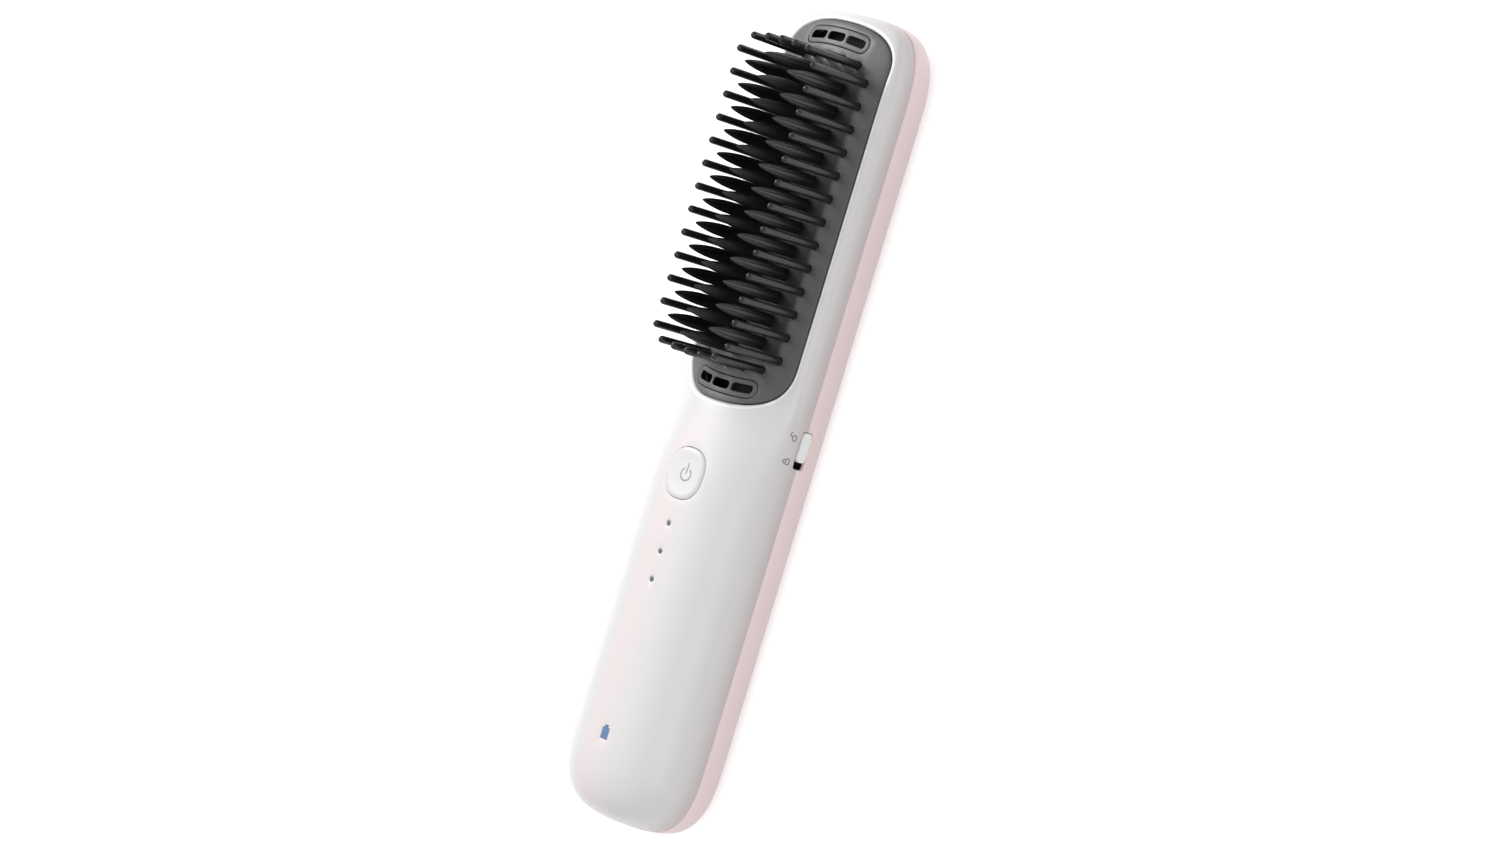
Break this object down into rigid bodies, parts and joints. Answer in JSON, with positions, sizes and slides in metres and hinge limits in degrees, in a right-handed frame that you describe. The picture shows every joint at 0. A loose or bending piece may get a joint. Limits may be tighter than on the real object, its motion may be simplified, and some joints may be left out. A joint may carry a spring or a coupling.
{
  "type": "hair straightening brush",
  "caption": "Cordless heated hair brush: a long rounded housing with a handle, a grey bezel of heated blades inside a fence of guard bristles, a power button and a lock slider.",
  "frame": {"origin": "bottom centre of the bounding box, on the rest plane under the flat of the back", "axes": "+X along the body from the butt end to the head end, +Y to the left seen from the handle with the teeth up, +Z along the teeth"},
  "size_m": [0.2221, 0.0483, 0.0433],
  "materials": {
    "white_shell": "satin-gloss moulded ABS, white",
    "pink_cover": "satin-gloss moulded ABS, pale pink",
    "grey_bezel": "fine-textured heat-resistant plastic, grey",
    "bristle": "satin heat-resistant nylon, dark grey",
    "comb": "die-cast aluminium with a glossy black ceramic coat",
    "ceramic": "sintered ceramic, off-white",
    "mica": "mica sheet, amber",
    "steel": "plated steel",
    "frame": "glass-filled plastic, dark grey",
    "black_plastic": "moulded plastic, black",
    "lead": "silicone wire insulation",
    "connector": "nylon connector housing, natural",
    "board": "glass-epoxy board with green solder mask",
    "cell": "heat-shrunk sleeve over a steel can, blue",
    "light_chip": "light-emitting chip in clear resin",
    "light_guide": "smoky translucent acrylic"
  },
  "bodies": {
    "housing": {"front_shell": "white_shell", "rear_cover": "pink_cover", "bezel": "grey_bezel", "vent_grille_head": "grey_bezel", "vent_grille_handle": "grey_bezel", "guard_bristles_left": "bristle", "guard_bristles_right": "bristle", "guard_bristles_head": "bristle", "guard_bristles_handle": "bristle", "heater_comb": "comb", "heating_element": "ceramic", "insulation_sheet": "mica", "heater_clamp": "steel", "clamp_screw_1": "steel", "clamp_screw_2": "steel", "heater_frame": "frame", "frame_screw_1": "steel", "frame_screw_2": "steel", "frame_screw_3": "steel", "frame_screw_4": "steel", "thermal_fuse": "ceramic", "temperature_sensor": "black_plastic", "heater_lead_left": "lead", "heater_lead_right": "lead", "tact_switch_body": "black_plastic", "slide_switch_body": "steel", "switch_board": "board", "switch_lead": "lead", "main_board": "board", "board_screw_1": "steel", "board_screw_2": "steel", "board_screw_3": "steel", "board_screw_4": "steel", "light_chip_1": "light_chip", "light_chip_2": "light_chip", "light_chip_3": "light_chip", "battery_light_chip": "light_chip", "light_guide": "light_guide", "battery_light_guide": "light_guide", "control_chip": "black_plastic", "power_transistor": "black_plastic", "lead_connector": "connector", "cell_left": "cell", "cell_right": "cell", "battery_cradle": "frame", "cell_link": "steel", "cell_tab_left": "steel", "cell_tab_right": "steel", "cradle_screw_1": "steel", "cradle_screw_2": "steel", "battery_lead_left": "lead", "battery_lead_right": "lead", "charge_board": "board", "charge_lead": "lead", "usb_c_shell": "steel", "usb_c_tongue": "black_plastic"},
    "button": {"power_button": "white_shell"},
    "plunger": {"tact_plunger": "black_plastic"},
    "slider": {"lock_slider": "white_shell"},
    "lever": {"slide_switch_lever": "black_plastic"}
  },
  "joints": [
    {"name": "power_press", "type": "slide", "parent": "housing", "child": "button", "axis": [0, 0, -1], "range_m": [0, 0.0005], "stiffness_N_per_m": 1500},
    {"name": "plunger_press", "type": "slide", "parent": "housing", "child": "plunger", "axis": [0, 0, -1], "range_m": [0, 0.0005]},
    {"name": "lock_slide", "type": "slide", "parent": "housing", "child": "slider", "axis": [-1, 0, 0], "range_m": [0, 0.0017]},
    {"name": "lever_slide", "type": "slide", "parent": "housing", "child": "lever", "axis": [-1, 0, 0], "range_m": [0, 0.0017]}
  ],
  "couplings": [
    {"joint": "plunger_press", "follows": "power_press", "ratio": 1},
    {"joint": "lever_slide", "follows": "lock_slide", "ratio": 1}
  ]
}
